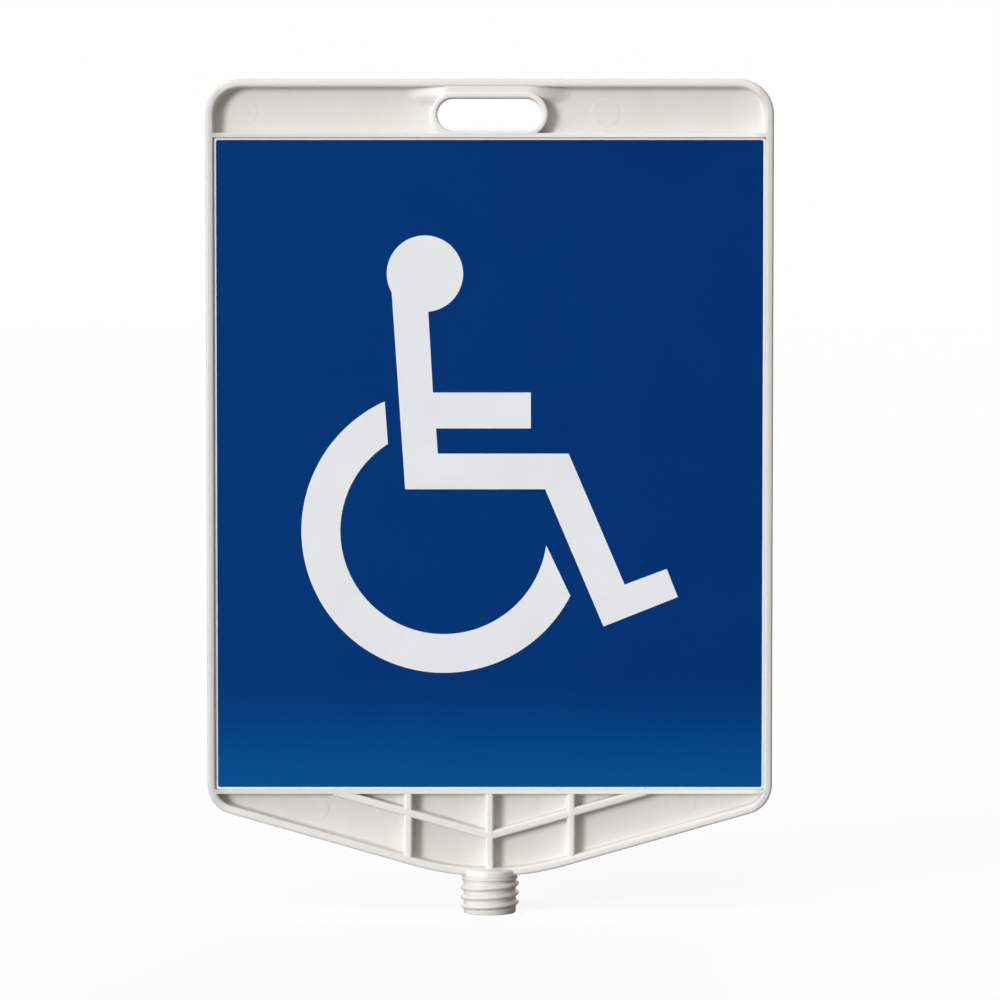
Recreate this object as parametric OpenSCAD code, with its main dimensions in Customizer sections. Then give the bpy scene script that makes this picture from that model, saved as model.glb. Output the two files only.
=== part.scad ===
// Double-sided accessible parking sign head: one moulded plastic frame with a hand slot and a
// threaded spigot, and on each face a bonded board with a blue film and a cut white symbol.
// Millimetres, +Z up, +X to the right of someone who reads the front, which faces -Y.
// Origin: on the spigot's axis, in the frame's mid-plane, at the lowest point of the frame's edge.

/* [Frame] */
// Width across the frame
frame_w = 510; // [470:1:560]
// Height from the lowest point of the edge to the top edge
frame_h = 719; // [690:1:780]
// Depth from the front edge of the rim to the rear edge
frame_d = 28; // [24:0.5:34]
// Thickness of the rim
rim_t = 7.4; // [6:0.1:8.5]
// Thickness of the web at mid-depth
web_t = 3.2; // [2.4:0.1:4]
// Outside radius of the top corners
top_corner_r = 32; // [20:1:45]
// Outside radius of the bottom corners
bottom_corner_r = 27; // [15:1:35]
// Outside radius of the rounded tip of the bottom edge
bottom_tip_r = 250; // [200:5:300]
// Rise of the bottom edge to each side, in degrees
bottom_slope = 15.9; // [14:0.1:17]

/* [Ledges and ribs] */
// Distance from the top edge down to the upper side of the panel recess
top_field_h = 52.7; // [52:0.1:56]
// Height of the recess's lower side above the lowest point of the edge
recess_rise = 79.1; // [76:0.1:82]
// Thickness of each ledge
ledge_t = 4.1; // [3:0.1:5]
// Thickness of the upright ribs
rib_t = 7.4; // [5:0.1:8]
// Distance between neighbouring upright ribs
rib_pitch = 73.6; // [60:0.2:80]
// Thickness of the two sloping ribs
v_rib_t = 7.4; // [5:0.1:8]
// Distance from the outside of the bottom edge to the middle of a sloping rib
v_rib_offset = 45; // [43:0.1:48]
// How far the ledges' front and rear edges lie behind the rim's
ledge_sink = 0.2; // [0.1:0.05:0.3]
// How far the ribs' front and rear edges lie behind the rim's
rib_sink = 0.5; // [0.4:0.1:1.2]

/* [Hand slot] */
// Width of the slot
slot_w = 94; // [80:1:110]
// Height of the slot
slot_h = 29; // [24:0.5:31]
// Distance from the top edge down to the middle of the slot
slot_drop = 31.8; // [30.5:0.1:32.5]
// Thickness of the collar round the slot
collar_t = 5.4; // [4:0.1:6]
// Width of the solid grip between the collar and the top rim
grip_w = 80; // [60:1:90]
// How far the grip's faces lie behind the rim's front and rear edges
grip_sink = 0.8; // [0.4:0.1:1.6]

/* [Spigot] */
// Outside diameter of the thread
thread_major_d = 53.2; // [51:0.1:56]
// Root diameter of the thread
thread_minor_d = 47.4; // [45:0.1:49]
// Pitch of the right-hand thread
thread_pitch = 8.4; // [8:0.1:8.6]
// Length of the threaded stretch
thread_l = 27.8; // [26:0.1:29]
// Length over which the thread fades in and out at its ends
thread_fade_l = 2.4; // [1.5:0.1:3.5]
// Height of a crest on the +X side below the frame's edge
thread_start = 7.4; // [6:0.1:8]
// Diameter of the neck above the thread and of the boss
neck_d = 50.4; // [49:0.1:51]
// Length of the neck below the frame's edge
neck_l = 3.2; // [2.5:0.1:4]
// Length of the plain end below the thread
pilot_l = 3; // [2.5:0.1:5]
// Diameter of the plain end, a little under the thread's root
pilot_d = 47; // [44:0.1:47.2]
// Chamfer at the spigot's end
tip_chamfer = 0.8; // [0.4:0.1:1]
// Wall left round the core hole of the spigot
spigot_wall = 4.5; // [3.5:0.1:6]
// Depth of the core hole
core_depth = 32; // [25:0.5:33]
// Height of the boss's straight side above the frame's edge
boss_rise = 6.4; // [5:0.1:7]
// Height of the boss's gently sloping top
boss_cone_h = 1.6; // [1.2:0.1:2.5]
// Diameter where the boss's sloping top ends
boss_top_d = 12; // [8:0.5:20]

/* [Boards and films] */
// Thickness of a board, a light foamed sheet that nearly fills the recess
board_t = 9; // [8:0.1:10]
// Gap between a board and the sides of the recess
board_gap = 0.6; // [0.3:0.1:1]
// Radius of a board's corners
board_corner_r = 2.5; // [1.5:0.1:5]
// Thickness of the blue film
film_t = 0.3; // [0.2:0.05:0.5]
// White border at a board's left and right sides
border_side = 1.5; // [1:0.1:6]
// White border at a board's top and bottom
border_end = 1.5; // [1:0.1:6]
// Radius of the blue film's corners
film_corner_r = 2; // [1:0.1:5]

/* [Symbol] */
// Overall height of the symbol, from the head's top to the wheel's bottom
symbol_h = 394; // [340:1:420]
// How far the middle of the symbol lies above the middle of the film
symbol_rise = 9; // [-20:1:20]
// Thickness of the white film that the symbol is cut from
symbol_t = 0.2; // [0.15:0.05:0.4]

/* [Bonding tape] */
// Thickness of the foam tape between a board and the web
tape_t = 0.6; // [0.4:0.1:1.2]
// Width of a strip
tape_w = 19; // [12:1:25]
// Distance from a board's edge to a strip
tape_inset = 12; // [8:1:30]

/* [Hidden] */
$fn = 64;

// Colours of the finishes
plastic_white = [0.90, 0.90, 0.88];
board_white = [0.93, 0.95, 0.97];
film_blue = [0.01, 0.08, 0.25];
symbol_white = [0.95, 0.96, 0.97];
tape_grey = [0.35, 0.35, 0.36];

// Overrun of every cut past the faces that it opens
overrun = 1;

// Centres of the outline's arcs, the same for the outside and for every line inside it
top_arc = [frame_w / 2 - top_corner_r, frame_h - top_corner_r];
tip_arc = [0, bottom_tip_r];
bottom_arc_x = frame_w / 2 - bottom_corner_r;
slope_start = [bottom_tip_r * sin(bottom_slope), bottom_tip_r * (1 - cos(bottom_slope))];
bottom_arc = [bottom_arc_x, slope_start[1] + (bottom_arc_x - slope_start[0]) * tan(bottom_slope)
    + bottom_corner_r / cos(bottom_slope)];

// Lines of the ledges and the recess
recess_top = frame_h - top_field_h;
recess_h = recess_top - recess_rise;
recess_w = frame_w - 2 * rim_t;
// Walls that end in the rim stop this far inside its outer face, a little short of its middle
root = 0.45 * rim_t;
lower_ledge = recess_rise - ledge_t / 2;
upper_ledge = recess_top + ledge_t / 2;
slot_z = frame_h - slot_drop;
slot_end = (slot_w - slot_h) / 2;
collar_line_r = (slot_h + collar_t) / 2;

// Height of a line parallel to the sloping bottom edge, a distance above it, at a place x
function slope_z(x, offset) = slope_start[1] + (x - slope_start[0]) * tan(bottom_slope)
    + offset / cos(bottom_slope);
v_rib_end = (lower_ledge - slope_z(0, v_rib_offset)) / tan(bottom_slope);

// Radii and levels of the spigot
thread_top = -neck_l;
thread_bottom = thread_top - thread_l;
spigot_end = thread_bottom - pilot_l;
minor_r = thread_minor_d / 2;
pilot_r = pilot_d / 2;
ridge_h = (thread_major_d - thread_minor_d) / 2;

// Levels of the layers in front of the mid-plane
web_face = web_t / 2;
board_back = web_face + tape_t;
board_face = board_back + board_t;
film_face = board_face + film_t;

// Size of a board and a film, and their common centre
board_w = recess_w - 2 * board_gap;
board_h = recess_h - 2 * board_gap;
panel_z = recess_rise + recess_h / 2;
film_w = board_w - 2 * border_side;
film_h = board_h - 2 * border_end;

// Steps round the outline's tip arc, a corner, and the rim's rounded edge
tip_steps = 4;
corner_steps = 12;
round_steps = 6;

// Points on a full turn of the thread, and levels along a pitch
thread_steps = 48;
thread_levels_per_pitch = 10;
// Share of the pitch's cosine below which the thread's root is flat
root_share = -0.7;

// Stands a shape up that was drawn flat: its thickness runs along Y, and its top face looks to the front
module upright() {
    rotate([90, 0, 0]) children();
}

// Turns a front piece round to the rear face
module to_rear() {
    rotate([0, 0, 180]) children();
}

// Section of a wall: straight sides and full-round edges at the front and the rear
module wall_section(t, depth) {
    square([t, depth - t], center = true);
    for (side = [-1, 1])
        translate([0, side * (depth - t) / 2]) circle(d = t);
}

// Wall along a straight line from p to q
module straight_wall(p, q, t, depth = frame_d) {
    translate(p)
        rotate([0, 0, atan2(q[1] - p[1], q[0] - p[0])])
            rotate([90, 0, 90])
                linear_extrude(norm(q - p)) wall_section(t, depth);
}

// Wall along an arc, from one angle to another
module arc_wall(centre, r, from, to, t) {
    translate(centre)
        rotate([0, 0, from])
            rotate_extrude(angle = to - from)
                translate([r, 0]) wall_section(t, frame_d);
}

// Outline of the frame as places on its arcs: a centre, the outside radius and an angle
function arc_places(centre, r, from, to, steps) =
    [for (i = [0:steps]) [centre, r, from + (to - from) * i / steps]];
function flipped(place) = [[-place[0][0], place[0][1]], place[1], 180 - place[2]];
outline_right = concat(
    arc_places(tip_arc, bottom_tip_r, -90, bottom_slope - 90, tip_steps),
    arc_places(bottom_arc, bottom_corner_r, bottom_slope - 90, 0, corner_steps),
    arc_places(top_arc, top_corner_r, 0, 90, corner_steps));
outline = concat(outline_right,
    [for (i = [len(outline_right) - 1:-1:1]) flipped(outline_right[i])]);

// Point a distance outside the outline, or inside it where the distance is negative
function beside(place, distance) =
    place[0] + (place[1] + distance) * [cos(place[2]), sin(place[2])];

// Rim with full-round edges: its section carried once round the outline
module rim() {
    c = rim_t / 2;
    flat = frame_d / 2 - c;
    section = concat(
        [for (i = [0:round_steps]) [c * cos(180 * i / round_steps), flat + c * sin(180 * i / round_steps)]],
        [for (i = [0:round_steps]) [-c * cos(180 * i / round_steps), -flat - c * sin(180 * i / round_steps)]]);
    n = len(section);
    m = len(outline);
    points = [for (place = outline, s = section)
        let (p = beside(place, s[0] - c)) [p[0], p[1], s[1]]];
    faces = [for (k = [0:m - 1], i = [0:n - 1])
        let (a = k * n + i, b = k * n + (i + 1) % n, d = (k + 1) % m * n + i, e = (k + 1) % m * n + (i + 1) % n)
            each [[a, b, d], [b, e, d]]];
    polyhedron(points = points, faces = faces);
}

// Slot's shape at a distance r from its middle line
module obround(r) {
    square([2 * slot_end, 2 * r], center = true);
    for (side = [-1, 1]) translate([side * slot_end, 0]) circle(r);
}

module web() {
    difference() {
        linear_extrude(web_t, center = true)
            polygon([for (place = outline) beside(place, -rim_t / 2)]);
        translate([0, slot_z, 0])
            linear_extrude(web_t + 2 * overrun, center = true) obround(collar_line_r);
    }
}

// Collar round the hand slot
module collar() {
    translate([0, slot_z, 0]) {
        for (side = [-1, 1]) {
            straight_wall([-slot_end, side * collar_line_r], [slot_end, side * collar_line_r], collar_t);
            arc_wall([side * slot_end, 0], collar_line_r, -90 * side, 180 - 90 * side, collar_t);
        }
    }
}

// Solid bar between the collar and the top rim
module grip() {
    low = slot_z + collar_line_r;
    high = frame_h - rim_t / 2;
    translate([-grip_w / 2, low, -(frame_d / 2 - grip_sink)])
        cube([grip_w, high - low, frame_d - 2 * grip_sink]);
}

// Ledges above and below the recess, upright ribs and sloping ribs in the lower part
module ledges_and_ribs() {
    end = frame_w / 2 - root;
    rib_d = frame_d - 2 * rib_sink;
    for (z = [lower_ledge, upper_ledge])
        straight_wall([-end, z], [end, z], ledge_t, frame_d - 2 * ledge_sink);
    for (i = [-1, 0, 1]) {
        x = i * rib_pitch;
        straight_wall([x, i == 0 ? root : slope_z(abs(x), root)], [x, lower_ledge], rib_t, rib_d);
    }
    for (side = [-1, 1])
        straight_wall([0, slope_z(0, v_rib_offset)], [side * v_rib_end, lower_ledge], v_rib_t, rib_d);
}

// Radius of the thread's surface at an angle and a level
function thread_fade(z) = max(0, min(1, (z - thread_bottom) / thread_fade_l, (thread_top - z) / thread_fade_l));
function ridge(turns) = max(0, (cos(360 * turns) - root_share) / (1 - root_share));
function thread_r(angle, z) =
    minor_r + ridge_h * thread_fade(z) * ridge((z + thread_start) / thread_pitch - angle / 360);

// Threaded stretch as one closed surface: a ring of points at each level
module thread() {
    levels = ceil(thread_levels_per_pitch * thread_l / thread_pitch);
    n = thread_steps;
    rings = [for (k = [0:levels], i = [0:n - 1])
        let (z = thread_bottom + thread_l * k / levels, angle = 360 * i / n, r = thread_r(angle, z))
            [r * cos(angle), r * sin(angle), z]];
    sides = [for (k = [0:levels - 1], i = [0:n - 1])
        let (a = k * n + i, b = k * n + (i + 1) % n)
            each [[a, a + n, b], [b, a + n, b + n]]];
    polyhedron(points = rings, faces = concat(sides,
        [[for (i = [0:n - 1]) i]],
        [[for (i = [n - 1:-1:0]) levels * n + i]]));
}

// Boss in the rim, neck, thread and plain end, before the core hole is cut
module spigot_body() {
    thread();
    translate([0, 0, thread_top]) cylinder(h = neck_l + boss_rise, d = neck_d);
    translate([0, 0, boss_rise]) cylinder(h = boss_cone_h, d1 = neck_d, d2 = boss_top_d);
    translate([0, 0, spigot_end + tip_chamfer]) cylinder(h = pilot_l - tip_chamfer, r = pilot_r);
    translate([0, 0, spigot_end]) cylinder(h = tip_chamfer, r1 = pilot_r - tip_chamfer, r2 = pilot_r);
}

// One moulding: rim, web, ledges, ribs, collar, grip, boss and threaded spigot
module moulded_frame() {
    color(plastic_white)
        difference() {
            union() {
                upright() {
                    rim();
                    web();
                    collar();
                    grip();
                    ledges_and_ribs();
                }
                spigot_body();
            }
            translate([0, 0, spigot_end - overrun])
                cylinder(h = core_depth + overrun, r = minor_r - spigot_wall);
        }
}

// Flat sheet with rounded corners, centred on the panel, lying between two levels
module sheet(w, h, r, level, t) {
    upright()
        translate([0, panel_z, level])
            linear_extrude(t) {
                square([w - 2 * r, h], center = true);
                square([w, h - 2 * r], center = true);
                for (x = [-1, 1], y = [-1, 1])
                    translate([x * (w / 2 - r), y * (h / 2 - r)]) circle(r);
            }
}

module board() {
    color(board_white) sheet(board_w, board_h, board_corner_r, board_back, board_t);
}

module blue_film() {
    color(film_blue) sheet(film_w, film_h, film_corner_r, board_face, film_t);
}

// The symbol's shapes are shares of its height, measured from the wheel's centre
head_shares = [-0.0426, 0.5875];
head_r_share = 0.087;
wheel_r_share = 0.3255;
wheel_band_share = 0.089;
// Body, arm, thigh, leg and foot, from the foot of the back round to the front of the chest
foot_tip_share = 0.5355;
body_shares = [
    [-0.0881, 0.0955], [0.2317, 0.0955], [0.3655, -0.219], [foot_tip_share, -0.1515], [0.51, -0.087],
    [0.4137, -0.123], [0.2855, 0.177], [-0.0135, 0.177], [-0.0175, 0.2345], [0.199, 0.2345],
    [0.199, 0.3165], [-0.0246, 0.3165]];
// Angles on the head where the chest and the back meet it, and the steps between them
chest_angle = -85;
back_angle = 209.5;
head_steps = 72;
// Two lines cut the wheel, given by their outer and inner ends: beside the back, and behind the leg
back_cut_shares = [[-0.1348, 0.299], [-0.1277, 0.202]];
leg_cut_shares = [[0.2891, -0.148], [0.2338, -0.0317]];

// Moves a symbol shape to its place on the film and gives it its thickness
module on_film() {
    low_share = -wheel_r_share;
    high_share = head_shares[1] + head_r_share;
    rise = panel_z + symbol_rise - symbol_h * (low_share + high_share) / 2;
    left_share = -wheel_r_share;
    upright()
        translate([-symbol_h * (left_share + foot_tip_share) / 2, rise, film_face])
            linear_extrude(symbol_t) children();
}

module symbol_figure() {
    head = [for (i = [0:head_steps])
        let (angle = chest_angle + (back_angle - chest_angle) * i / head_steps)
            head_shares + head_r_share * [cos(angle), sin(angle)]];
    color(symbol_white) on_film() polygon(symbol_h * concat(head, body_shares));
}

// Ring cut open between the two cut lines, which a wedge through the centre removes
module symbol_wheel() {
    outer = symbol_h * wheel_r_share;
    inner = outer - symbol_h * wheel_band_share;
    back = symbol_h * back_cut_shares;
    leg = symbol_h * leg_cut_shares;
    back_way = (back[0] - back[1]) / norm(back[0] - back[1]);
    leg_way = (leg[0] - leg[1]) / norm(leg[0] - leg[1]);
    far = 2 * outer;
    color(symbol_white) on_film()
        difference() {
            circle(outer);
            circle(inner);
            polygon([back[1] - inner / 2 * back_way, back[0] + far * back_way, [far, far],
                leg[0] + far * leg_way, leg[1] - inner / 2 * leg_way]);
        }
}

// Strip of tape on the web, given by its middle and its size
module tape_strip(middle, size) {
    color(tape_grey)
        upright()
            translate([middle[0], panel_z + middle[1], web_face])
                linear_extrude(tape_t) square(size, center = true);
}

tape_x = board_w / 2 - tape_inset - tape_w / 2;
tape_y = board_h / 2 - tape_inset - tape_w / 2;
tape_upright = [tape_w, board_h - 2 * tape_inset];
// Between strips that meet at a corner there is half a strip's width
tape_level = [2 * tape_x - 2 * tape_w, tape_w];
tape_centre = [tape_w, board_h - 2 * tape_inset - 3 * tape_w];

module tape_left() {
    tape_strip([-tape_x, 0], tape_upright);
}

module tape_right() {
    tape_strip([tape_x, 0], tape_upright);
}

module tape_middle() {
    tape_strip([0, 0], tape_centre);
}

module tape_top() {
    tape_strip([0, tape_y], tape_level);
}

module tape_bottom() {
    tape_strip([0, -tape_y], tape_level);
}

moulded_frame();
board();  // front_board
blue_film();  // front_blue_film
symbol_figure();  // front_symbol_figure
symbol_wheel();  // front_symbol_wheel
to_rear() board();  // rear_board
to_rear() blue_film();  // rear_blue_film
to_rear() symbol_figure();  // rear_symbol_figure
to_rear() symbol_wheel();  // rear_symbol_wheel
tape_left();  // front_tape_left
tape_middle();  // front_tape_middle
tape_right();  // front_tape_right
tape_top();  // front_tape_top
tape_bottom();  // front_tape_bottom
to_rear() tape_left();  // rear_tape_left
to_rear() tape_middle();  // rear_tape_middle
to_rear() tape_right();  // rear_tape_right
to_rear() tape_top();  // rear_tape_top
to_rear() tape_bottom();  // rear_tape_bottom
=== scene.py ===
# %% [markdown]
# # An accessible parking sign head, dressed in Blender
#
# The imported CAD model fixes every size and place. This lesson gives it the looks of the real
# thing: a white injection moulding with rounded beads and soft corners, a spigot with a rounded
# thread, and on each face a board with a blue film and a cut white symbol. Everything is in
# metres, +Z is up, and the front of the sign faces -Y.

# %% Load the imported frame
import math

import bmesh
import bpy
from mathutils import Matrix, Vector


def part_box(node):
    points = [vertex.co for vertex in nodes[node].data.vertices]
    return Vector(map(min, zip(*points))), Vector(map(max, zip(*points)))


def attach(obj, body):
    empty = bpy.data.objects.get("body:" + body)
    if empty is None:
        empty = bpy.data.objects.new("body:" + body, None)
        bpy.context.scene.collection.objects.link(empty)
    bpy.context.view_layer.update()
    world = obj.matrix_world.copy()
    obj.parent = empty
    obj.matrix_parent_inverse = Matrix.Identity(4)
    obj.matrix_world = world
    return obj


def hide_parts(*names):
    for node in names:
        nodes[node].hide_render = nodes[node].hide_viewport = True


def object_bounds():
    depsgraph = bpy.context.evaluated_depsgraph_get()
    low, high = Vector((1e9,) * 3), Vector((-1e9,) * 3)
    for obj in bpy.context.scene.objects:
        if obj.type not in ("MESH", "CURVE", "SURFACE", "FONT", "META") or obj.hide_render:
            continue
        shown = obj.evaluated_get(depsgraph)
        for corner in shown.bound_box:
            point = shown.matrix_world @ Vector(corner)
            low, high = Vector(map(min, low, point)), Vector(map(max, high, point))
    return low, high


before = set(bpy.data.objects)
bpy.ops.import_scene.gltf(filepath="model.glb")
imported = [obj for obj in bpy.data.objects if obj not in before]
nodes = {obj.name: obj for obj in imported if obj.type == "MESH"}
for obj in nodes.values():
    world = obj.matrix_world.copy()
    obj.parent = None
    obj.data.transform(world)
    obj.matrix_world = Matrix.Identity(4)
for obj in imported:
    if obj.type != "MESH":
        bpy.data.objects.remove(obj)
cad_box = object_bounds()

MM = 0.001
MERGE = 0.001 * MM
print("CAD nodes:", len(nodes), "box:", [[round(c / MM, 1) for c in corner] for corner in cad_box])

# %% [markdown]
# ## The camera
#
# The photograph was taken square on from about four metres, with the camera a little above the
# middle of the sign and tipped three degrees down, which is why the top of the sign is slightly
# wider in the picture than the bottom. A 160 mm lens on a 36 mm sensor gives the same frame.

# %% Camera
CAMERA_AIM = Vector((9.3, -14, 341)) * MM
CAMERA_DISTANCE = 4.0
CAMERA_TIP = math.radians(3)
LENS_LENGTH, SENSOR_WIDTH = 160, 36


def place_camera():
    lens = bpy.data.cameras.new("photo_camera")
    lens.lens = LENS_LENGTH
    lens.sensor_width = SENSOR_WIDTH
    camera = bpy.data.objects.new("photo_camera", lens)
    bpy.context.scene.collection.objects.link(camera)
    back = Vector((0, -math.cos(CAMERA_TIP), math.sin(CAMERA_TIP)))
    camera.location = CAMERA_AIM + CAMERA_DISTANCE * back
    camera.rotation_euler = (math.pi / 2 - CAMERA_TIP, 0, 0)
    bpy.context.scene.camera = camera
    return camera


camera = place_camera()
print("camera at", [round(c, 3) for c in camera.location])

# %% [markdown]
# ## Shader maths
#
# A material is a small calculation that is worked out at every point of a surface. It reads
# best as a formula, so one small class wraps a node's output and gives it the signs of
# arithmetic. Any other node comes from its `node` method.

# %% A class that wraps a socket
class Wire:
    def __init__(self, socket):
        self.socket = socket

    def node(self, kind, settings=None, sockets=None, out=0):
        return add_node(self.socket.id_data, kind, settings, sockets, out)

    def maths(self, operation, *values):
        return self.node("ShaderNodeMath", {"operation": operation}, dict(enumerate(values)))

    def __add__(self, other):
        return self.maths("ADD", self, other)

    def __sub__(self, other):
        return self.maths("SUBTRACT", self, other)

    def __rsub__(self, other):
        return self.maths("SUBTRACT", other, self)

    def __mul__(self, other):
        return self.maths("MULTIPLY", self, other)

    def __abs__(self):
        return self.maths("ABSOLUTE", self)

    def axis(self, number):
        """The x, y or z of this position, for 0, 1 or 2."""
        return self.node("ShaderNodeSeparateXYZ", None, {0: self}, number)

    def between(self, low, high):
        """0 up to low, 1 from high on, and smooth between them."""
        return self.node("ShaderNodeMapRange", {"interpolation_type": "SMOOTHSTEP"},
                         {"Value": self, "From Min": low, "From Max": high})

    def noise(self, size, detail=2):
        """Soft random mottling of this position, with patches of about that size in metres."""
        return self.node("ShaderNodeTexNoise", None,
                         {"Vector": self, "Scale": 1 / size, "Detail": detail})

    def mix(self, first, second):
        """A colour that goes from the first to the second as this number goes from 0 to 1."""
        return self.node("ShaderNodeMix", {"data_type": "RGBA"}, {0: self, 6: first, 7: second}, 2)

    __radd__ = __add__


def add_node(tree, kind, settings=None, sockets=None, out=0):
    made = tree.nodes.new(kind)
    for name, value in (settings or {}).items():
        setattr(made, name, value)
    for name, value in (sockets or {}).items():
        if isinstance(value, Wire):
            tree.links.new(value.socket, made.inputs[name])
        else:
            made.inputs[name].default_value = value
    return Wire(made.outputs[out])


# %% A blank material, and a bump that follows a height in metres
def finish_named(name, roughness, specular, **constants):
    """A new material, its shader, whose constants stand on its own sockets, and the position."""
    material = bpy.data.materials.new(name)
    material.use_nodes = True
    shader = material.node_tree.nodes["Principled BSDF"]
    shader.inputs["Roughness"].default_value = roughness
    shader.inputs["Specular IOR Level"].default_value = specular
    for socket, value in constants.items():
        shader.inputs[socket.replace("_", " ")].default_value = value
    place = add_node(material.node_tree, "ShaderNodeTexCoord", out=3)
    return material, shader, place


def feed(shader, socket, wire):
    wire.socket.id_data.links.new(wire.socket, shader.inputs[socket])


def bumped(height, depth, under=None):
    """A normal that is tilted by a height from 0 to 1, for a relief that is so deep in metres."""
    sockets = {"Height": height, "Distance": depth, "Strength": 1}
    if under:
        sockets["Normal"] = under
    return height.node("ShaderNodeBump", None, sockets)


print("shader helpers are ready")

# %% [markdown]
# ## Moulded white plastic
#
# The frame is a satin moulding, a warm white. Close up its skin isn't flat: the steel mould
# leaves a very fine grain, and the plastic sinks and swells by a tenth of a millimetre or so as
# it cools, which shows as a soft unevenness in the highlights. So there are two reliefs, one
# fine and one slow. The colour drifts with the slow one and with a patchier cloud, and the
# gloss with the cloud and the grain.
#
# The edges that stand out are painted lighter than the web behind them: a painted light for the
# shade that falls on the web between the walls. The two side beads get a darker colour than the
# other edges. All three masks are read from the position.

# %% Plastic
PLASTIC_WARM = (0.735, 0.72, 0.685, 1)
PLASTIC_CLEAR = (0.78, 0.77, 0.75, 1)
# The next colour is a painted light for the raised edges, and the one after it the side beads'
# darker colour
PLASTIC_PAINTED_LIGHT = (0.84, 0.83, 0.81, 1)
PLASTIC_SIDE_BEADS = (0.69, 0.68, 0.66, 1)
DRIFT_SIZE, CLOUD_SIZE, GRAIN_SIZE = 55 * MM, 12 * MM, 0.7 * MM
DRIFT_DEPTH, GRAIN_DEPTH = 0.22 * MM, 0.03 * MM
# Where the raised edges are painted lighter: by depth from the mid-plane, and from the spigot's
# top up
PAINTED_LIGHT_FROM_WEB, PAINTED_LIGHT_FROM_SPIGOT = (4 * MM, 13 * MM), (-2 * MM, 2 * MM)
SIDE_BEADS_X = (236 * MM, 246 * MM)


def moulded_plastic():
    material, shader, place = finish_named(
        "white_plastic", 0.42, 0.42, Subsurface_Weight=0.12, Subsurface_Scale=2.5 * MM,
        Subsurface_Radius=(1.0, 0.8, 0.55))
    drift = place.noise(DRIFT_SIZE, 3)
    cloud = place.noise(CLOUD_SIZE, 4)
    grain = place.noise(GRAIN_SIZE)
    across, out, up = (place.axis(number) for number in range(3))
    # Painted light: the raised edges get a lighter colour in place of the shade on the web between
    # them, and the spigot is left out
    painted_light_on_edges = abs(out).between(*PAINTED_LIGHT_FROM_WEB) * up.between(*PAINTED_LIGHT_FROM_SPIGOT)
    # The two side beads get a darker colour than the other raised edges
    side_beads = abs(across).between(*SIDE_BEADS_X)
    worn = (drift * 0.75 + cloud * 0.25).between(0.3, 0.72).mix(PLASTIC_WARM, PLASTIC_CLEAR)
    edges = side_beads.mix(PLASTIC_PAINTED_LIGHT, PLASTIC_SIDE_BEADS)
    feed(shader, "Base Color", painted_light_on_edges.mix(worn, edges))
    feed(shader, "Roughness", 0.33 + cloud * 0.12 + grain * 0.06)
    feed(shader, "Normal", bumped(grain, GRAIN_DEPTH, bumped(drift, DRIFT_DEPTH)))
    return material


plastic = moulded_plastic()
print("made", plastic.name)

# %% [markdown]
# ## Blue film, white symbol film and white board
#
# The blue is a deep ink on a smooth film, with a faint mottle where it lies on its glue. A painted
# sheen makes it lighter near the bottom and a little lighter towards -x, the left seen from the
# front. The symbol is cut from a white film, and it and the board's skin are a little colder than
# the frame. All three are smooth sheets, so their relief is only an orange peel, a few
# millimetres wide and a few microns deep.

# %% Films and board
BLUE_DEEP = (0.0005, 0.0315, 0.178, 1)
# The lighter blue is a painted sheen
BLUE_PAINTED_SHEEN = (0.0008, 0.082, 0.29, 1)
PAINTED_SHEEN_LOW_Z, PAINTED_SHEEN_HIGH_Z = 70 * MM, 185 * MM
FILM_WHITE_DULL, FILM_WHITE_CLEAR = (0.80, 0.83, 0.865, 1), (0.84, 0.87, 0.91, 1)
BOARD_WHITE_DULL, BOARD_WHITE_CLEAR = (0.80, 0.83, 0.87, 1), (0.85, 0.88, 0.92, 1)
PEEL_DEPTH, SPECK_DEPTH = 0.012 * MM, 0.004 * MM


def feed_peel(shader, peel, speck):
    feed(shader, "Normal", bumped(peel, PEEL_DEPTH, bumped(speck, SPECK_DEPTH)))


def blue_ink():
    material, shader, place = finish_named("blue_film", 0.3, 0.05)
    mottle = place.noise(90 * MM, 3)
    speck = place.noise(1.6 * MM)
    # Painted sheen: the blue gets lighter towards the bottom and towards -x, the left seen from
    # the front; the mottle is the ink's own
    glow = (1 - place.axis(2).between(PAINTED_SHEEN_LOW_Z, PAINTED_SHEEN_HIGH_Z)) * 0.9
    drift = mottle * 0.12 + speck * 0.05 - place.axis(0) * 0.25
    feed(shader, "Base Color", (glow + drift).mix(BLUE_DEEP, BLUE_PAINTED_SHEEN))
    feed(shader, "Roughness", 0.26 + mottle * 0.1 + speck * 0.04)
    feed_peel(shader, place.noise(6 * MM), speck)
    return material


def white_sheet(name, dull, clear, roughness):
    material, shader, place = finish_named(name, roughness, 0.3)
    mottle = place.noise(50 * MM, 3)
    speck = place.noise(1.2 * MM)
    feed(shader, "Base Color", (mottle * 0.8 + speck * 0.2).between(0.3, 0.7).mix(dull, clear))
    feed(shader, "Roughness", roughness - 0.04 + mottle * 0.08)
    feed_peel(shader, place.noise(7 * MM), speck)
    return material


blue = blue_ink()
symbol_white = white_sheet("white_film", FILM_WHITE_DULL, FILM_WHITE_CLEAR, 0.3)
board_white = white_sheet("white_board", BOARD_WHITE_DULL, BOARD_WHITE_CLEAR, 0.28)
print("made", blue.name, symbol_white.name, board_white.name)

# %% [markdown]
# ## Foam tape
#
# Strips of dark foam hold each board on the web. They don't show, but they are part of the sign,
# so they get their own finish: closed cells about a millimetre across.

# %% Foam
FOAM_WALL, FOAM_CELL = (0.05, 0.05, 0.055, 1), (0.12, 0.12, 0.13, 1)
CELLS_PER_METRE, CELL_DEPTH = 1100, 0.1 * MM


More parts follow.
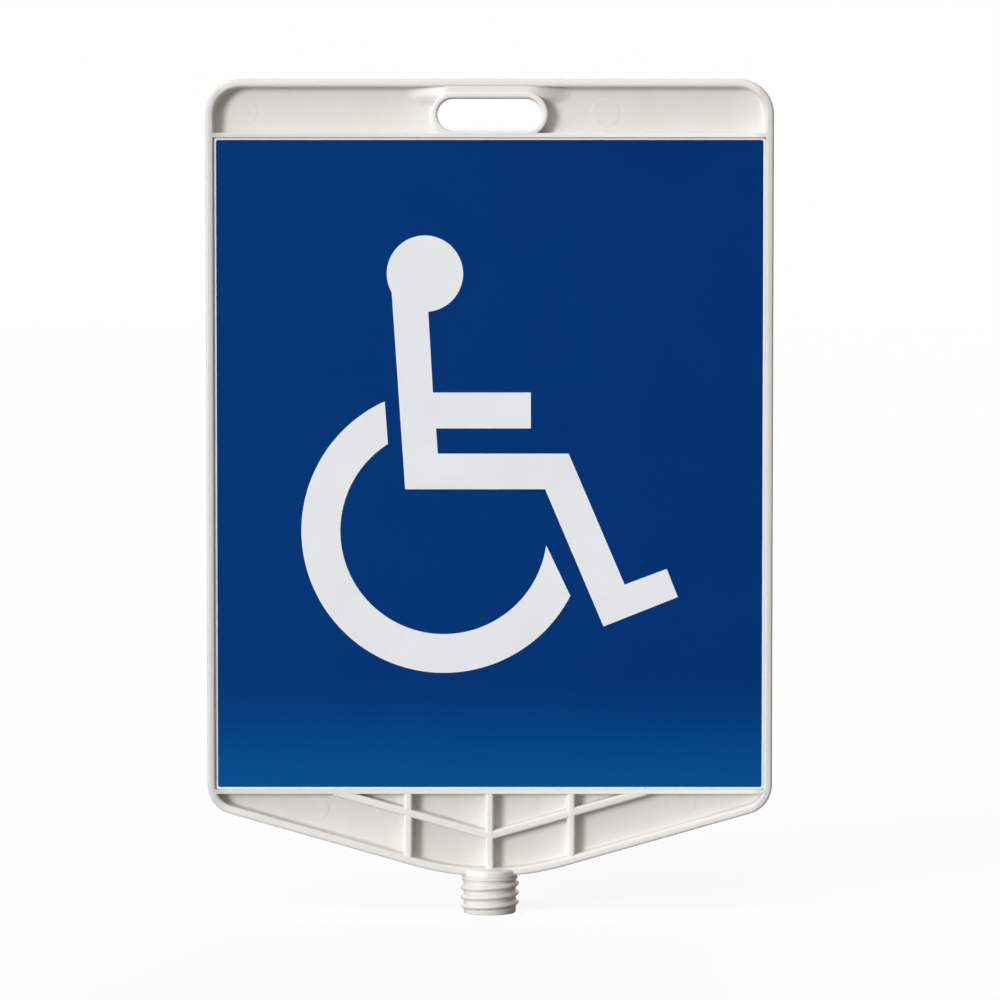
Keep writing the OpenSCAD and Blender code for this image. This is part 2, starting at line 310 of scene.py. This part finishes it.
def foam():
    material, shader, place = finish_named("foam_tape", 0.85, 0.2)
    from_wall = place.node("ShaderNodeTexVoronoi", {"feature": "DISTANCE_TO_EDGE"},
                           {"Vector": place, "Scale": CELLS_PER_METRE})
    cell = from_wall.between(0.02, 0.16)
    feed(shader, "Base Color", cell.mix(FOAM_WALL, FOAM_CELL))
    feed(shader, "Normal", bumped(cell, CELL_DEPTH))
    return material


foam_dark = foam()
print("made", foam_dark.name)

# %% [markdown]
# ## Sizes of the moulding
#
# These repeat sizes of the CAD source, because this script can't read that file. Every wall of
# the moulding stands on both faces of a thin web, and is rounded at its front and rear edges.
# WEB is half the web's thickness, and CREST half the rim's depth, because both are measured
# from the mid-plane. A sink says how far a wall's edge stands back behind the rim's.

# %% Sizes
FRAME_W, FRAME_H, FRAME_D = 510 * MM, 719 * MM, 28 * MM
CREST = FRAME_D / 2
RIM_T = 7.4 * MM
WEB = 1.6 * MM
TOP_R, CORNER_R, TIP_R = 32 * MM, 27 * MM, 250 * MM
SLOPE = math.radians(15.9)
RECESS_LOW, RECESS_HIGH = 79.1 * MM, 666.3 * MM
LEDGE_T, RIB_T, V_RIB_T = 4.1 * MM, 7.4 * MM, 7.4 * MM
RIB_PITCH, V_RIB_OFFSET = 73.6 * MM, 45 * MM
LEDGE_SINK, RIB_SINK, GRIP_SINK = 0.2 * MM, 0.5 * MM, 0.8 * MM
SLOT_W, SLOT_H, SLOT_Z = 94 * MM, 29 * MM, 687.2 * MM
COLLAR_T = 5.4 * MM
SLOT_END = (SLOT_W - SLOT_H) / 2
COLLAR_R = (SLOT_H + COLLAR_T) / 2

slope_x, slope_z = TIP_R * math.sin(SLOPE), TIP_R * (1 - math.cos(SLOPE))
corner_x = FRAME_W / 2 - CORNER_R
corner_z = slope_z + (corner_x - slope_x) * math.tan(SLOPE) + CORNER_R / math.cos(SLOPE)
top_x, top_z = FRAME_W / 2 - TOP_R, FRAME_H - TOP_R


def along_slope(x, offset):
    """Height, at x, of the line that runs an offset inside the sloping bottom edge."""
    return slope_z + (x - slope_x) * math.tan(SLOPE) + offset / math.cos(SLOPE)


print("bottom corner's centre at", round(corner_x / MM, 1), round(corner_z / MM, 1), "mm")

# %% [markdown]
# ## A section carried along a path
#
# The rim, the collar, the ledges and the ribs are each one section carried along a path. bmesh
# has operators for just that: `extrude_edge_only` and a move for a straight stretch, and `spin`
# for a bend. Half of the rim and of the collar is swept, and `mirror` makes the other half, so
# the two sides can't differ.
#
# Where a wall meets the web, the moulding has a small fillet, its foot. The foot's outermost
# point dips a twentieth of a millimetre under the web, so that the two surfaces cross when they
# are united later, and don't only touch.

# %% Section of a wall
ROUND_STEPS, FOOT_STEPS = 7, 5
EDGE_ROUND_SHARE, LEDGE_ROUND_SHARE = 0.68, 0.3
FOOT_DIP = 0.05 * MM


def quarter_arc(radius, steps):
    """Points of a quarter circle about (0, 0), from its right end to its top."""
    angles = [math.pi / 2 * i / steps for i in range(steps + 1)]
    return [(radius * math.cos(a), radius * math.sin(a)) for a in angles]


def side_points(half, foot):
    """Points of one side of a wall's front half, from the web to where the round edge starts."""
    if not foot:
        return [(half, 0)]
    points = [(half + foot - v, WEB + foot - u) for u, v in quarter_arc(foot, FOOT_STEPS)]
    points[0] = (points[0][0], WEB - FOOT_DIP)
    return points


def wall_section(thickness, crest, foot_low, foot_high, round_share=EDGE_ROUND_SHARE):
    """Closed section of a wall as (across, depth) pairs, the front half and then the rear half."""
    half = thickness / 2
    low = [(-u, -v) for u, v in side_points(half, foot_low)]
    high = [(u, -v) for u, v in side_points(half, foot_high)]
    soft = half * round_share
    corner = [(half - soft + u, soft - crest - v) for u, v in quarter_arc(soft, ROUND_STEPS)]
    edge = [(-u, v) for u, v in corner] + corner[::-1]
    front = low + edge + high[::-1]
    rear = [(u, -v) for u, v in reversed(front) if v]
    return front + rear


print("points in a ledge's section:", len(wall_section(LEDGE_T, CREST, 0, 0)))


# %% A bmesh that grows along a path
class Moulding:
    """A bmesh that starts as one closed section, and grows with each run and turn."""

    def __init__(self, section, start, across):
        self.bm = bmesh.new()
        ring = [self.bm.verts.new(start + across * u + Vector((0, v, 0))) for u, v in section]
        closing = ring[:1] if len(ring) > 2 else []
        for a, b in zip(ring, ring[1:] + closing):
            self.bm.edges.new((a, b))
        self.first = list(self.bm.edges)
        self.last = list(self.bm.edges)

    def run(self, way):
        grown = bmesh.ops.extrude_edge_only(self.bm, edges=self.last)["geom"]
        verts = [g for g in grown if isinstance(g, bmesh.types.BMVert)]
        bmesh.ops.translate(self.bm, verts=verts, vec=way)
        ends = set(verts)
        self.last = [g for g in grown
                     if isinstance(g, bmesh.types.BMEdge) and set(g.verts) <= ends]
        return self

    def turn(self, centre, degrees, steps):
        """Bends to the left as seen from the front, about a centre."""
        verts = list(dict.fromkeys(v for e in self.last for v in e.verts))
        grown = bmesh.ops.spin(self.bm, geom=verts + self.last, cent=centre, axis=(0, -1, 0),
                               angle=math.radians(degrees), steps=steps, use_duplicate=False)
        self.last = [g for g in grown["geom_last"] if isinstance(g, bmesh.types.BMEdge)]
        return self

    def closed(self):
        """Mirrors the half across the middle of the sign and joins the two."""
        everything = self.bm.verts[:] + self.bm.edges[:] + self.bm.faces[:]
        bmesh.ops.mirror(self.bm, geom=everything, merge_dist=MERGE, axis="X")
        return self

    def filled(self):
        """Fills the front and rear outlines of a ribbon, which makes a flat solid of it."""
        bmesh.ops.remove_doubles(self.bm, verts=self.bm.verts, dist=MERGE)
        outlines = [e for e in self.bm.edges if e.is_boundary]
        bmesh.ops.holes_fill(self.bm, edges=outlines, sides=0)
        return self

    def capped(self):
        """Closes both ends of a straight wall."""
        for ends in (self.first, self.last):
            bmesh.ops.contextual_create(self.bm, geom=ends)
        return self

    def made(self, name):
        bmesh.ops.remove_doubles(self.bm, verts=self.bm.verts, dist=MERGE)
        bmesh.ops.recalc_face_normals(self.bm, faces=self.bm.faces)
        return as_object(self.bm, name)


def as_object(bm, name):
    mesh = bpy.data.meshes.new(name)
    bm.to_mesh(mesh)
    bm.free()
    piece = bpy.data.objects.new(name, mesh)
    bpy.context.scene.collection.objects.link(piece)
    return piece


# %% [markdown]
# ## Rim and web
#
# The rim's path starts at the lowest point of the frame and climbs its right half: the wide arc
# of the tip, the slope, the bottom corner, the side, and the top corner. The web is a ribbon
# carried along the same path inside the rim and then filled on both faces.

# %% Rim and web
TIP_STEPS, CORNER_STEPS, TOP_STEPS = 8, 14, 18
SLOPE_RUN = (corner_x + CORNER_R * math.sin(SLOPE) - slope_x) / math.cos(SLOPE)
RIM_FOOT = 3 * MM


def outline_path(section, inset):
    """Carries a section round the frame's outline, with its middle an inset inside."""
    path = Moulding(section, Vector((0, 0, inset)), Vector((0, 0, 1)))
    path.turn((0, 0, TIP_R), math.degrees(SLOPE), TIP_STEPS)
    path.run(Vector((math.cos(SLOPE), 0, math.sin(SLOPE))) * SLOPE_RUN)
    path.turn((corner_x, 0, corner_z), 90 - math.degrees(SLOPE), CORNER_STEPS)
    path.run(Vector((0, 0, top_z - corner_z)))
    path.turn((top_x, 0, top_z), 90, TOP_STEPS)
    path.run(Vector((-top_x, 0, 0)))
    return path.closed()


rim = outline_path(wall_section(RIM_T, CREST, 0, RIM_FOOT), RIM_T / 2).made("rim")
web = outline_path([(0, -WEB), (0, WEB)], RIM_T / 2).filled().made("web")
print("rim faces:", len(rim.data.polygons), "web faces:", len(web.data.polygons))

# %% [markdown]
# ## Ledges, ribs, collar and grip
#
# Two ledges close the panel's recess, three upright ribs and two sloping ones stiffen the lower
# part, and a collar lines the hand slot. A ledge or a rib ends inside the wall that it runs into,
# a little short of that wall's middle. A solid grip joins the collar to the top rim. It is a
# plain block in the CAD model. Here its faces have their full height over a shorter stretch, and
# sink softly into the web on both sides, as the fading shadow in the photograph shows.

# %% Straight walls
ROOT = 0.45 * RIM_T
LEDGE_FOOT, RIB_FOOT, COLLAR_FOOT = 2.2 * MM, 2 * MM, 2.4 * MM
CRESTS_APART = 0.01 * MM


def straight_wall(name, start, end, thickness, sink, foot_low, foot_high,
                  round_share=EDGE_ROUND_SHARE):
    """A wall from one (x, z) to another. Its low and high sides are named for a wall that runs
    to the right: a foot of 0 leaves that side without a fillet."""
    start, end = Vector((start[0], 0, start[1])), Vector((end[0], 0, end[1]))
    way = end - start
    across = Vector((-way.z, 0, way.x)).normalized()
    section = wall_section(thickness, CREST - sink, foot_low, foot_high, round_share)
    return Moulding(section, start, across).run(way).capped().made(name)


ledge_low_z, ledge_high_z = RECESS_LOW - LEDGE_T / 2, RECESS_HIGH + LEDGE_T / 2
ledge_end = FRAME_W / 2 - ROOT
walls = [straight_wall("lower_ledge", (-ledge_end, ledge_low_z), (ledge_end, ledge_low_z),
                       LEDGE_T, LEDGE_SINK, LEDGE_FOOT, 0, LEDGE_ROUND_SHARE),
         straight_wall("upper_ledge", (-ledge_end, ledge_high_z), (ledge_end, ledge_high_z),
                       LEDGE_T, LEDGE_SINK, 0, LEDGE_FOOT, LEDGE_ROUND_SHARE)]
for x in (-RIB_PITCH, 0, RIB_PITCH):
    low_z = along_slope(RIB_PITCH, ROOT) if x else ROOT
    walls.append(straight_wall("upright_rib", (x, low_z), (x, ledge_low_z),
                               RIB_T, RIB_SINK, RIB_FOOT, RIB_FOOT))
v_low_z = along_slope(0, V_RIB_OFFSET)
v_top_x = (ledge_low_z - v_low_z) / math.tan(SLOPE)
for side in (-1, 1):
    # The crests of the ribs lie a hair apart, because the Boolean dislikes faces in one plane
    walls.append(straight_wall("sloping_rib", (0, v_low_z), (side * v_top_x, ledge_low_z),
                               V_RIB_T, RIB_SINK + CRESTS_APART * side, RIB_FOOT, RIB_FOOT))
print("walls:", [w.name for w in walls])

# %% Collar round the hand slot
SLOT_STEPS = 32


def slot_path(section):
    """Carries a section round the hand slot, with its middle on the collar's."""
    path = Moulding(section, Vector((0, 0, SLOT_Z - COLLAR_R)), Vector((0, 0, 1)))
    path.run(Vector((SLOT_END, 0, 0)))
    path.turn((SLOT_END, 0, SLOT_Z), 180, SLOT_STEPS)
    path.run(Vector((-SLOT_END, 0, 0)))
    return path.closed()


def slot_plug():
    """A solid that fills the slot as far as the middle of the collar, to cut with."""
    return slot_path([(0, -CREST), (0, CREST)]).filled().made("slot_plug")


collar = slot_path(wall_section(COLLAR_T, CREST, COLLAR_FOOT, 0)).made("collar")

# %% Grip
GRIP_FACE, GRIP_FULL_W = CREST - GRIP_SINK, 68 * MM
GRIP_LOW, GRIP_HIGH = SLOT_Z + COLLAR_R, FRAME_H - RIM_T / 2
GRIP_FADE_X, GRIP_FADE_Z = 42 * MM, 12 * MM
GRIP_CELLS_X, GRIP_CELLS_Z = 78, 18


def grip_height(x, z):
    """Half the grip's depth: full between collar and rim, and sinking softly into the web."""
    beside = max(0, abs(x) - GRIP_FULL_W / 2) / GRIP_FADE_X
    below = max(0, GRIP_LOW - z) / GRIP_FADE_Z
    t = min(1, math.hypot(beside, below))
    return GRIP_FACE - (GRIP_FACE - WEB + FOOT_DIP) * t * t * (3 - 2 * t)


def grip_pad():
    """Two fine grids a unit either side of the mid-plane, joined, and scaled to the height."""
    bm = bmesh.new()
    bmesh.ops.create_grid(bm, x_segments=GRIP_CELLS_X, y_segments=GRIP_CELLS_Z, size=1)
    half_w, low = GRIP_FULL_W / 2 + GRIP_FADE_X, GRIP_LOW - GRIP_FADE_Z
    for v in bm.verts:
        v.co = (v.co.x * half_w, 1, low + (GRIP_HIGH - low) * (v.co.y + 1) / 2)
    grown = bmesh.ops.extrude_face_region(bm, geom=bm.faces[:])["geom"]
    front = [g for g in grown if isinstance(g, bmesh.types.BMVert)]
    bmesh.ops.translate(bm, verts=front, vec=(0, -2, 0))
    for v in bm.verts:
        v.co.y *= grip_height(v.co.x, v.co.z)
    bmesh.ops.recalc_face_normals(bm, faces=bm.faces)
    return as_object(bm, "grip")


grip = grip_pad()
print("collar faces:", len(collar.data.polygons), "grip faces:", len(grip.data.polygons))

# %% [markdown]
# ## Spigot with its thread
#
# The spigot is turned work, so its profile is spun once round the Z axis: up the core hole,
# round the end, up the plain end, the thread's root and the neck with its groove, and over the
# boss. `spin` leaves a fine grid where the thread is, and each of its points is then moved
# outwards by the ridge's height at its angle and level. The ridge is most of a cosine wave, cut
# off near its lowest part, so the thread has round crests and a narrow flat root.

# %% Spigot
THREAD_MAJOR, THREAD_MINOR = 26.6 * MM, 23.7 * MM
PITCH, THREAD_START, FADE = 8.4 * MM, 7.4 * MM, 2.4 * MM
THREAD_HIGH, THREAD_LOW, SPIGOT_END = -3.2 * MM, -31 * MM, -34 * MM
CORE_R, CORE_TOP = 19.2 * MM, -2 * MM
PILOT_R, NECK_R = 23.5 * MM, 25.2 * MM
BOSS_SIDE, BOSS_TOP, BOSS_TOP_R = 6.4 * MM, 8 * MM, 6 * MM
GROOVE_Z, GROOVE_HALF, GROOVE_DEPTH = -0.6 * MM, 0.7 * MM, 0.6 * MM
CORE_SOFT, END_SOFT, NECK_SOFT, BOSS_SOFT = 1 * MM, 0.8 * MM, 0.5 * MM, 2.4 * MM
ROOT_SHARE, THREAD_GAP = -0.7, 0.05 * MM
TURN_STEPS, THREAD_LEVELS, END_STEPS, GROOVE_STEPS, BOSS_STEPS = 160, 76, 4, 6, 5


def ridge_height(angle, z):
    """How far the thread stands out of its root. It fades in and out at the two ends."""
    fade = min(1, (z - THREAD_LOW) / FADE, (THREAD_HIGH - z) / FADE)
    wave = math.cos(2 * math.pi * ((z + THREAD_START) / PITCH - angle / (2 * math.pi)))
    share = max(0, (wave - ROOT_SHARE) / (1 - ROOT_SHARE))
    return max(0, fade) * share * (THREAD_MAJOR - THREAD_MINOR)


def spigot_profile():
    """(radius, z) from the core hole's top, round the spigot's end, and up to the boss's top."""
    points = [(0, CORE_TOP), (CORE_R - CORE_SOFT, CORE_TOP), (CORE_R, CORE_TOP - CORE_SOFT),
              (CORE_R, SPIGOT_END + END_SOFT / 2), (CORE_R + END_SOFT / 2, SPIGOT_END)]
    points += [(PILOT_R - END_SOFT + v, SPIGOT_END + END_SOFT - u)
               for u, v in quarter_arc(END_SOFT, END_STEPS)]
    points += [(THREAD_MINOR, THREAD_LOW + (THREAD_HIGH - THREAD_LOW) * i / THREAD_LEVELS)
               for i in range(THREAD_LEVELS + 1)]
    points += [(NECK_R - NECK_SOFT, THREAD_HIGH + THREAD_GAP), (NECK_R, THREAD_HIGH + NECK_SOFT)]
    points += [(NECK_R - GROOVE_DEPTH * math.sin(a), GROOVE_Z - GROOVE_HALF * math.cos(a))
               for a in (math.pi * i / GROOVE_STEPS for i in range(GROOVE_STEPS + 1))]
    points += [(NECK_R - BOSS_SOFT + u, BOSS_SIDE - BOSS_SOFT + v)
               for u, v in quarter_arc(BOSS_SOFT, BOSS_STEPS)]
    points += [(BOSS_TOP_R, BOSS_TOP), (0, BOSS_TOP)]
    return points


def turned(profile, steps):
    """Spins a profile of (radius, z) points once round the Z axis."""
    bm = bmesh.new()
    verts = [bm.verts.new((r, 0, z)) for r, z in profile]
    for a, b in zip(verts, verts[1:]):
        bm.edges.new((a, b))
    bmesh.ops.spin(bm, geom=bm.verts[:] + bm.edges[:], cent=(0, 0, 0), axis=(0, 0, 1),
                   angle=2 * math.pi, steps=steps, use_merge=True, use_duplicate=False)
    bmesh.ops.remove_doubles(bm, verts=bm.verts, dist=MERGE)
    return bm


def threaded_spigot():
    bm = turned(spigot_profile(), TURN_STEPS)
    for v in bm.verts:
        radius = math.hypot(v.co.x, v.co.y)
        on_root = abs(radius - THREAD_MINOR) < MERGE
        if on_root and THREAD_LOW <= v.co.z <= THREAD_HIGH:
            grown = 1 + ridge_height(math.atan2(v.co.y, v.co.x), v.co.z) / radius
            v.co.x *= grown
            v.co.y *= grown
    bmesh.ops.recalc_face_normals(bm, faces=bm.faces)
    return as_object(bm, "spigot")


spigot = threaded_spigot()
print("spigot faces:", len(spigot.data.polygons))

# %% [markdown]
# ## One moulding
#
# A real moulding has no seams between its walls, so the pieces are united with Boolean
# modifiers. The exact solver is used, because it keeps the solid closed. The web and the grip
# are pierced for the hand slot first. A seat is cut for each board afterwards, which takes the
# rim's fillets away inside the recess, where the board fits close. It ends short of the crest,
# so the rim's rounded edge stays whole.

# %% Unite and cut
def combine(target, operation, tools):
    """Applies one Boolean for each tool, and removes the tools."""
    for tool in tools:
        step = target.modifiers.new(operation, "BOOLEAN")
        step.operation = operation
        step.solver = "EXACT"
        step.object = tool
        bpy.context.view_layer.update()
        shape = target.evaluated_get(bpy.context.evaluated_depsgraph_get())
        mesh = bpy.data.meshes.new_from_object(shape)
        target.modifiers.clear()
        target.data = mesh
        bpy.data.objects.remove(tool)
    return target


def report_open_edges(piece):
    bm = bmesh.new()
    bm.from_mesh(piece.data)
    open_edges = sum(1 for e in bm.edges if not e.is_manifold)
    print(piece.name, "faces:", len(bm.faces), "open edges:", open_edges,
          "litres:", round(bm.calc_volume() * 1000, 3))
    bm.free()


def box_mesh(low, high):
    """A box between two corners."""
    bm = bmesh.new()
    bmesh.ops.create_cube(bm, size=1)
    bmesh.ops.scale(bm, verts=bm.verts, vec=high - low)
    bmesh.ops.translate(bm, verts=bm.verts, vec=(low + high) / 2)
    return bm


SEAT_CUT, SEAT_TOP = 0.02 * MM, 11.2 * MM
seat_x, seat_y = FRAME_W / 2 - RIM_T + SEAT_CUT, WEB - SEAT_CUT
seats = []
for y_low, y_high in ((-SEAT_TOP, -seat_y), (seat_y, SEAT_TOP)):
    low = Vector((-seat_x, y_low, RECESS_LOW - SEAT_CUT))
    high = Vector((seat_x, y_high, RECESS_HIGH + SEAT_CUT))
    seats.append(as_object(box_mesh(low, high), "seat"))
for pierced in (web, grip):
    combine(pierced, "DIFFERENCE", [slot_plug()])
moulding = combine(rim, "UNION", [web, collar, grip, *walls, spigot])
combine(moulding, "DIFFERENCE", seats)
report_open_edges(moulding)

# %% [markdown]
# ## Marks that the mould leaves
#
# Close up, the photograph shows four faint round marks on the web, where pins pushed the
# moulding out of its mould, a small pit, a nick in the top edge and a little flash at the
# slot. They are tiny, but they are what makes the plastic look moulded and used. The rear face
# has the same pin marks, turned half way round.

# %% Mould marks
# In mm: x, z and radius of the front's pin marks, and centre and half sizes of the others
PIN_MARKS = [(-221.2, 689.5, 12.5), (104.1, 688.6, 13), (-157.4, 60.8, 11.6), (175.1, 65.4, 11.6)]
FLASH = ((7.5, -13.2, 671.9), (2.4, 0.9, 0.9))
PIT = ((235.7, -1.75, 697.5), (1.1, 0.8, 0.9))
NICK = ((115, -13.9, 715.2), (1.3, 0.45, 0.6))
PIN_RISE, PIN_SOFT, PIN_STEPS = 0.2 * MM, 0.35 * MM, 64


def pin_mark(x, z, radius, side):
    """A very flat round button with a soft edge, on the front web for side 1, or the rear's."""
    bm = turned([(0, WEB + PIN_RISE), (radius - PIN_SOFT, WEB + PIN_RISE),
                 (radius, WEB - FOOT_DIP), (0, WEB - FOOT_DIP)], PIN_STEPS)
    bmesh.ops.rotate(bm, verts=bm.verts, cent=(0, 0, 0),
                     matrix=Matrix.Rotation(side * math.pi / 2, 3, "X"))
    bmesh.ops.translate(bm, verts=bm.verts, vec=(side * x, 0, z))
    bmesh.ops.recalc_face_normals(bm, faces=bm.faces)
    return as_object(bm, "pin_mark")


def pebble(name, centre, size):
    """A small rounded lump, to cut a pit with or to add as a burr."""
    bm = bmesh.new()
    bmesh.ops.create_icosphere(bm, subdivisions=3, radius=1)
    bmesh.ops.scale(bm, verts=bm.verts, vec=Vector(size) * MM)
    bmesh.ops.translate(bm, verts=bm.verts, vec=Vector(centre) * MM)
    return as_object(bm, name)


pins = [pin_mark(x * MM, z * MM, r * MM, side) for side in (1, -1) for x, z, r in PIN_MARKS]
combine(moulding, "UNION", pins + [pebble("flash", *FLASH)])
combine(moulding, "DIFFERENCE", [pebble("pit", *PIT), pebble("nick", *NICK)])
report_open_edges(moulding)

# %% [markdown]
# ## Smooth shading
#
# Whatever this script builds is shaded smooth, and only the edges that turn by more than the
# crease angle stay sharp. `set_sharp_from_angle` does both at once.

# %% Shading and finish
CREASE = math.radians(32)


def dress(piece, name, material, node):
    """Names and shades a piece, gives it its finish, hangs it on the root body, and hides the CAD
    node that it stands for.
    """
    piece.name = name
    piece.data.set_sharp_from_angle(angle=CREASE)
    print(name, "smooth faces:", sum(face.use_smooth for face in piece.data.polygons))
    piece.data.materials.clear()
    piece.data.materials.append(material)
    for face in piece.data.polygons:
        face.material_index = 0
    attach(piece, "root")
    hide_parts(node)


dress(moulding, "sign_moulding", plastic, "moulded_frame")

# %% [markdown]
# ## Boards
#
# Each board is a light foamed sheet with a white skin that nearly fills its recess. All that
# shows of it is a narrow white border round the film, so its edge matters more than its face: it
# is pressed out to a close fit, its corners are rounded, and the edges of its faces are broken by
# a quarter of a millimetre, which catches a thin line of light.

# %% Boards
# How far a sheet is pressed out, and the width and the segments of each of its bevels
FIT = Vector((0.55, 0, 0.55)) * MM
CORNER_BEVEL, EDGE_BEVEL = (2.5 * MM, 8), (0.25 * MM, 3)


def bevel_edges(bm, edges, width, segments):
    bmesh.ops.bevel(bm, geom=edges, offset=width, segments=segments, profile=0.5,
                    affect="EDGES", material=-1)


def depth_along(edge):
    """How far an edge runs from front to rear."""
    return abs(edge.verts[0].co.y - edge.verts[1].co.y)


for side in ("front", "rear"):
    low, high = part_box(f"{side}_board")
    bm = box_mesh(low - FIT, high + FIT)
    bevel_edges(bm, [e for e in bm.edges if depth_along(e) > MM], *CORNER_BEVEL)
    bevel_edges(bm, [e for e in bm.edges if depth_along(e) < 10 * MERGE
                     and len(e.link_faces) == 2 and e.calc_face_angle() > 1], *EDGE_BEVEL)
    name = f"{side}_board_sheet"
    dress(as_object(bm, name), name, board_white, f"{side}_board")

# %% [markdown]
# ## Films, symbols and tapes
#
# The CAD shapes of these are right as they are, so they stay, and each one is only given its
# finish. The part of its name that says what it is picks the finish.

# %% Finishes for the CAD nodes that stay
FINISHES = {"blue_film": (blue, "blue_film"), "symbol": (symbol_white, "white_film"),
            "tape": (foam_dark, "foam_tape")}
for name, node in nodes.items():
    for word, (material, slot) in FINISHES.items():
        if word in name:
            node.data.materials.clear()
            node.data.materials.append(material)
print("dressed", sum(any(w in n for w in FINISHES) for n in nodes), "CAD nodes")

# %% [markdown]
# ## Floor, backdrop and light
#
# The photograph has a white background and one soft light from the left, about forty degrees to
# the side and a little above, with weaker light from the top and the front. Another lamp lights
# the rear, which the photograph doesn't show. The floor and the world show as white to the
# camera alone. All other rays find a dim world and a grey floor, or the white would wash out
# the shadows. The floor keeps a trace of the sign's shadow.

# %% Floor and world
FLOOR_Z = cad_box[0].z
SHADOW_SHARE = 0.2
FLOOR_GLOW = 1.06
FLOOR_SEEN, FLOOR_BOUNCE = (0.92, 0.92, 0.92, 1), (0.29, 0.278, 0.266, 1)
FLOOR_HALF = 40
WHITE = (1, 1, 1, 1)
FILL_COLOR, FILL = (1, 0.85, 0.77, 1), 0.12


def camera_ray(tree):
    """1 for what the camera sees directly, and 0 for every other ray."""
    return Wire(add_node(tree, "ShaderNodeLightPath").socket.node.outputs["Is Camera Ray"])


def pale_floor():
    bm = bmesh.new()
    bmesh.ops.create_grid(bm, x_segments=2, y_segments=2, size=FLOOR_HALF)
    bmesh.ops.translate(bm, verts=bm.verts, vec=(0, 0, FLOOR_Z))
    floor = as_object(bm, "floor")
    material = bpy.data.materials.new("floor_pale")
    material.use_nodes = True
    tree = material.node_tree
    pale = tree.nodes["Principled BSDF"]
    pale.inputs["Roughness"].default_value = 0.9
    seen = camera_ray(tree)
    feed(pale, "Base Color", seen.mix(FLOOR_BOUNCE, FLOOR_SEEN))
    glow = add_node(tree, "ShaderNodeEmission", None, {"Color": WHITE, "Strength": FLOOR_GLOW})
    mixed = seen.node("ShaderNodeMixShader", None,
                      {0: seen * (1 - SHADOW_SHARE), 1: Wire(pale.outputs[0]), 2: glow})
    tree.links.new(mixed.socket, tree.nodes["Material Output"].inputs["Surface"])
    floor.data.materials.append(material)


def white_world():
    world = bpy.data.worlds.new("studio")
    bpy.context.scene.world = world
    world.use_nodes = True
    tree = world.node_tree
    fill = tree.nodes["Background"]
    fill.inputs["Color"].default_value = FILL_COLOR
    fill.inputs["Strength"].default_value = FILL
    white = add_node(tree, "ShaderNodeBackground", None, {"Color": WHITE, "Strength": 1})
    seen = camera_ray(tree)
    mixed = seen.node("ShaderNodeMixShader", None, {0: seen, 1: Wire(fill.outputs[0]), 2: white})
    tree.links.new(mixed.socket, tree.nodes["World Output"].inputs["Surface"])


pale_floor()
white_world()

# %% Lamps
# Name, where the light comes from, strength, the lamp's apparent width in degrees, and colour
LAMPS = [("key", (-0.9, -1, 0.2), 2.4, 20, (0.965, 0.995, 1)),
         ("top_fill", (-0.4, -0.6, 1), 1.3, 70, (1, 0.955, 0.93)),
         ("front_fill", (0.0, -1, 0.0), 0.16, 80, (1, 0.95, 0.9)),
         ("rear_fill", (0.15, 1, 0.35), 1.9, 60, (1, 0.99, 0.97))]
LAMP_AIM, LAMP_DISTANCE = Vector((0, 0, 0.36)), 3


def soft_lamp(name, way, strength, width, color):
    """A large soft lamp, far enough away to be even: a sun with a wide disc. Only the way that a
    sun faces counts. Its place is for the eye."""
    lamp = bpy.data.lights.new(name, "SUN")
    lamp.energy = strength
    lamp.angle = math.radians(width)
    lamp.color = color
    light = bpy.data.objects.new(name, lamp)
    bpy.context.scene.collection.objects.link(light)
    way = Vector(way).normalized()
    light.location = LAMP_AIM + way * LAMP_DISTANCE
    light.rotation_euler = way.to_track_quat("Z", "Y").to_euler()


for row in LAMPS:
    soft_lamp(*row)
bpy.context.scene.view_settings.view_transform = "Standard"
print("lit")
